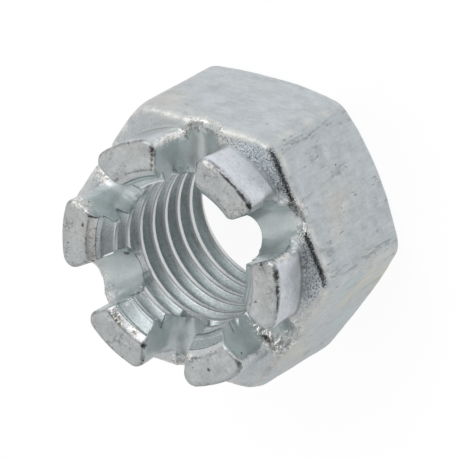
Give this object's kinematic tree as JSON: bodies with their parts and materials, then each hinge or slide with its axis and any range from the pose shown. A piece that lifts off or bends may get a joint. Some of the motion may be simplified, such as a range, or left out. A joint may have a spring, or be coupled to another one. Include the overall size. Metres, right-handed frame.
{
  "type": "castle nut",
  "caption": "Zinc-plated hexagon castle nut with a slotted round crown for a split pin and a coarse threaded bore.",
  "frame": {"origin": "middle of the bearing face", "axes": "+Z along the thread, from the bearing face to the crown; +X through a corner of the hexagon, so +Y is square to a flat and runs along two slots"},
  "size_m": [0.0412, 0.036, 0.0268],
  "materials": {
    "zinc_plated_steel": "bright zinc plating over a hot-forged skin"
  },
  "bodies": {
    "root": {"castle_nut": "zinc_plated_steel"}
  },
  "joints": []
}
